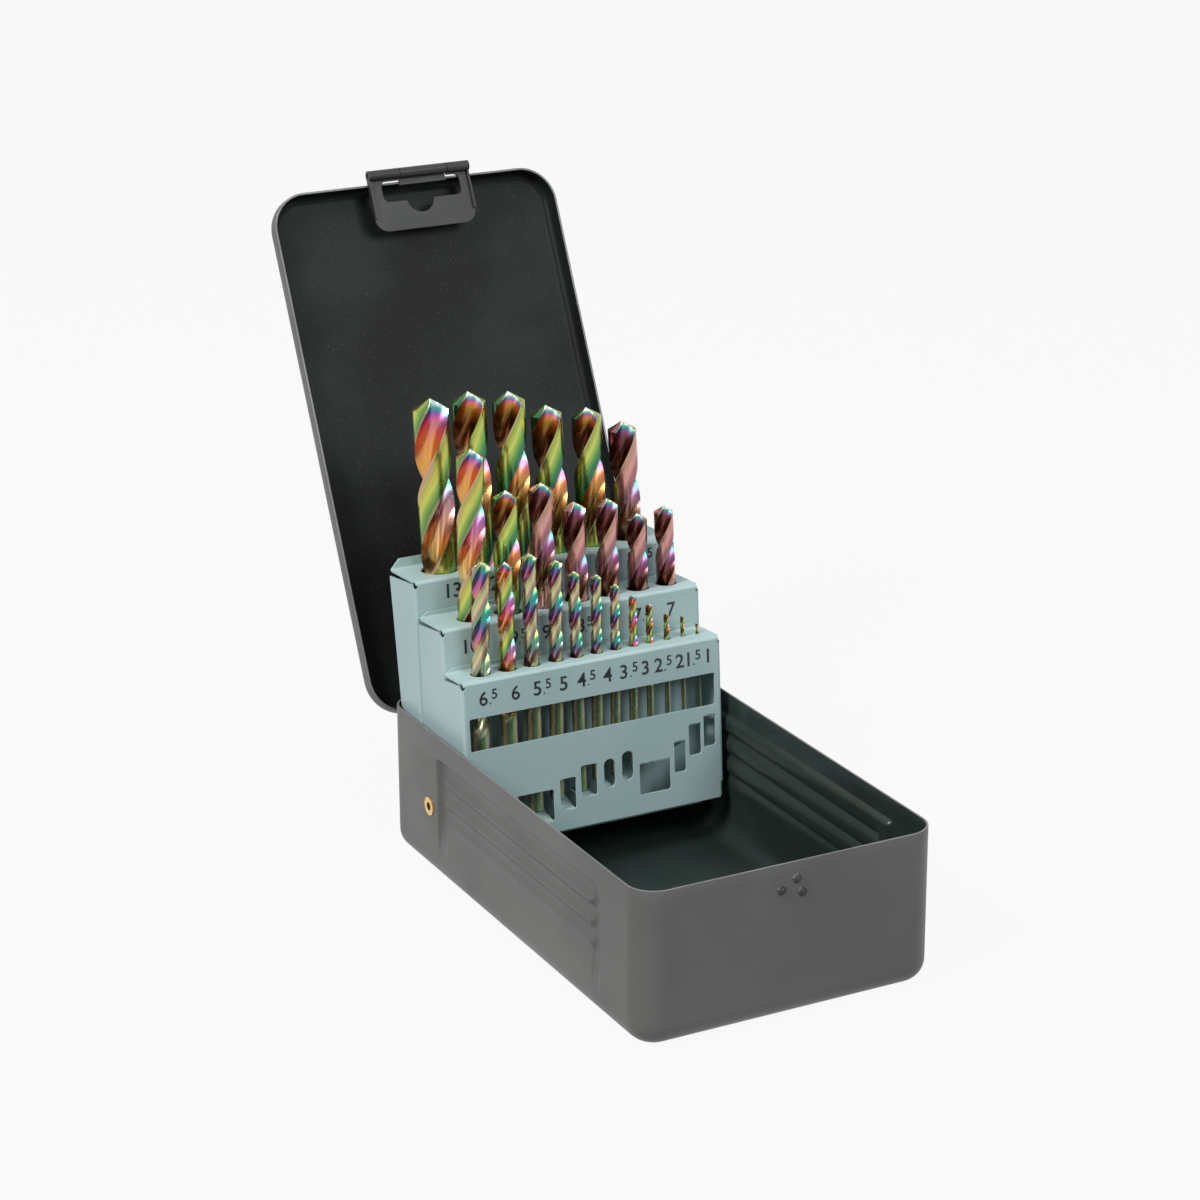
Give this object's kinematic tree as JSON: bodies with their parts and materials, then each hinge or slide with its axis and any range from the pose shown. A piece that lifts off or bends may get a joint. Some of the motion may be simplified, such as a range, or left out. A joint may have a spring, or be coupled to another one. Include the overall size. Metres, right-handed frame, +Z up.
{
  "type": "drill bit case",
  "caption": "Open sheet-steel drill case with a hinged lid, a slotted clasp and a stepped fold-up rack holding twist drills in graded sizes.",
  "frame": {"origin": "middle of the base's underside, on the plane the case stands on", "axes": "+X to the right as seen from the clasp side, +Y back to the lid's hinge, +Z up"},
  "size_m": [0.1138, 0.2861, 0.2245],
  "materials": {
    "case_paint_outside": "satin",
    "lid_paint": "satin",
    "clasp_paint": "satin",
    "rack_paint": "satin powder coat",
    "brass": "polished",
    "wire": "drawn",
    "drill_steel": "ground, with heat colours"
  },
  "bodies": {
    "base": {"base_pan": "case_paint_outside", "base_hinge_leaf": "case_paint_outside", "hinge_wire": "wire", "eyelet_left": "brass", "eyelet_right": "brass", "spacer_left": "wire", "spacer_right": "wire"},
    "lid": {"lid_shell": "lid_paint", "lid_hinge_leaf": "lid_paint", "clasp_bracket": "lid_paint", "clasp_wire": "wire"},
    "clasp": {"clasp": "clasp_paint"},
    "rack": {"rack_small": "rack_paint", "rack_medium": "rack_paint", "rack_large": "rack_paint"},
    "drill_01_0": {"drill_01_0": "drill_steel"},
    "drill_01_5": {"drill_01_5": "drill_steel"},
    "drill_02_0": {"drill_02_0": "drill_steel"},
    "drill_02_5": {"drill_02_5": "drill_steel"},
    "drill_03_0": {"drill_03_0": "drill_steel"},
    "drill_03_5": {"drill_03_5": "drill_steel"},
    "drill_04_0": {"drill_04_0": "drill_steel"},
    "drill_04_5": {"drill_04_5": "drill_steel"},
    "drill_05_0": {"drill_05_0": "drill_steel"},
    "drill_05_5": {"drill_05_5": "drill_steel"},
    "drill_06_0": {"drill_06_0": "drill_steel"},
    "drill_06_5": {"drill_06_5": "drill_steel"},
    "drill_07_0": {"drill_07_0": "drill_steel"},
    "drill_07_5": {"drill_07_5": "drill_steel"},
    "drill_08_0": {"drill_08_0": "drill_steel"},
    "drill_08_5": {"drill_08_5": "drill_steel"},
    "drill_09_0": {"drill_09_0": "drill_steel"},
    "drill_09_5": {"drill_09_5": "drill_steel"},
    "drill_10_0": {"drill_10_0": "drill_steel"},
    "drill_10_5": {"drill_10_5": "drill_steel"},
    "drill_11_0": {"drill_11_0": "drill_steel"},
    "drill_11_5": {"drill_11_5": "drill_steel"},
    "drill_12_0": {"drill_12_0": "drill_steel"},
    "drill_12_5": {"drill_12_5": "drill_steel"},
    "drill_13_0": {"drill_13_0": "drill_steel"}
  },
  "joints": [
    {"name": "lid_hinge", "type": "hinge", "parent": "base", "child": "lid", "pos_m": [0, 0.0963, 0.0476], "axis": [-1, 0, 0], "range_deg": [-115.8, 0]},
    {"name": "rack_hinge", "type": "hinge", "parent": "base", "child": "rack", "pos_m": [0, 0.0605, 0.0266], "axis": [-1, 0, 0], "range_deg": [-94, 0]},
    {"name": "clasp_hinge", "type": "hinge", "parent": "lid", "child": "clasp", "pos_m": [0, 0.184, 0.22257], "axis": [-1, 0, 0], "range_deg": [0, 90]},
    {"name": "drill_01_0_slide", "type": "slide", "parent": "rack", "child": "drill_01_0", "axis": [-0.0175, 0.0697, 0.9974], "range_m": [0, 0.0332]},
    {"name": "drill_01_5_slide", "type": "slide", "parent": "rack", "child": "drill_01_5", "axis": [0.014, 0.0697, 0.9975], "range_m": [0, 0.0355]},
    {"name": "drill_02_0_slide", "type": "slide", "parent": "rack", "child": "drill_02_0", "axis": [0.014, 0.0697, 0.9975], "range_m": [0, 0.0424]},
    {"name": "drill_02_5_slide", "type": "slide", "parent": "rack", "child": "drill_02_5", "axis": [0.0209, 0.0697, 0.9973], "range_m": [0, 0.0459]},
    {"name": "drill_03_0_slide", "type": "slide", "parent": "rack", "child": "drill_03_0", "axis": [0.0297, 0.0697, 0.9971], "range_m": [0, 0.0457]},
    {"name": "drill_03_5_slide", "type": "slide", "parent": "rack", "child": "drill_03_5", "axis": [0.0314, 0.0697, 0.9971], "range_m": [0, 0.0494]},
    {"name": "drill_04_0_slide", "type": "slide", "parent": "rack", "child": "drill_04_0", "axis": [0.0297, 0.0697, 0.9971], "range_m": [0, 0.0498]},
    {"name": "drill_04_5_slide", "type": "slide", "parent": "rack", "child": "drill_04_5", "axis": [0.0052, 0.0698, 0.9976], "range_m": [0, 0.0522]},
    {"name": "drill_05_0_slide", "type": "slide", "parent": "rack", "child": "drill_05_0", "axis": [0.0349, 0.0697, 0.997], "range_m": [0, 0.053]},
    {"name": "drill_05_5_slide", "type": "slide", "parent": "rack", "child": "drill_05_5", "axis": [0.014, 0.0697, 0.9975], "range_m": [0, 0.0561]},
    {"name": "drill_06_0_slide", "type": "slide", "parent": "rack", "child": "drill_06_0", "axis": [0.0209, 0.0697, 0.9973], "range_m": [0, 0.0577]},
    {"name": "drill_06_5_slide", "type": "slide", "parent": "rack", "child": "drill_06_5", "axis": [0.0558, 0.0696, 0.996], "range_m": [0, 0.0635]},
    {"name": "drill_07_0_slide", "type": "slide", "parent": "rack", "child": "drill_07_0", "axis": [-0.007, 0.0698, 0.9975], "range_m": [0, 0.0845]},
    {"name": "drill_07_5_slide", "type": "slide", "parent": "rack", "child": "drill_07_5", "axis": [0.0209, 0.0697, 0.9973], "range_m": [0, 0.0844]},
    {"name": "drill_08_0_slide", "type": "slide", "parent": "rack", "child": "drill_08_0", "axis": [0.0227, 0.0697, 0.9973], "range_m": [0, 0.0844]},
    {"name": "drill_08_5_slide", "type": "slide", "parent": "rack", "child": "drill_08_5", "axis": [0, 0.0698, 0.9976], "range_m": [0, 0.0845]},
    {"name": "drill_09_0_slide", "type": "slide", "parent": "rack", "child": "drill_09_0", "axis": [0.0262, 0.0697, 0.9972], "range_m": [0, 0.0844]},
    {"name": "drill_09_5_slide", "type": "slide", "parent": "rack", "child": "drill_09_5", "axis": [0.0227, 0.0697, 0.9973], "range_m": [0, 0.0844]},
    {"name": "drill_10_0_slide", "type": "slide", "parent": "rack", "child": "drill_10_0", "axis": [0.0419, 0.0697, 0.9967], "range_m": [0, 0.0759]},
    {"name": "drill_10_5_slide", "type": "slide", "parent": "rack", "child": "drill_10_5", "axis": [-0.0244, 0.0697, 0.9973], "range_m": [0, 0.0928]},
    {"name": "drill_11_0_slide", "type": "slide", "parent": "rack", "child": "drill_11_0", "axis": [-0.014, 0.0697, 0.9975], "range_m": [0, 0.0928]},
    {"name": "drill_11_5_slide", "type": "slide", "parent": "rack", "child": "drill_11_5", "axis": [-0.0297, 0.0697, 0.9971], "range_m": [0, 0.0928]},
    {"name": "drill_12_0_slide", "type": "slide", "parent": "rack", "child": "drill_12_0", "axis": [-0.0175, 0.0697, 0.9974], "range_m": [0, 0.0928]},
    {"name": "drill_12_5_slide", "type": "slide", "parent": "rack", "child": "drill_12_5", "axis": [-0.0209, 0.0697, 0.9973], "range_m": [0, 0.0928]},
    {"name": "drill_13_0_slide", "type": "slide", "parent": "rack", "child": "drill_13_0", "axis": [-0.0105, 0.0698, 0.9975], "range_m": [0, 0.0928]}
  ],
  "couplings": [
    {"joint": "rack_hinge", "follows": "lid_hinge", "ratio": 0.81174},
    {"joint": "clasp_hinge", "follows": "lid_hinge", "ratio": -0.7772}
  ]
}
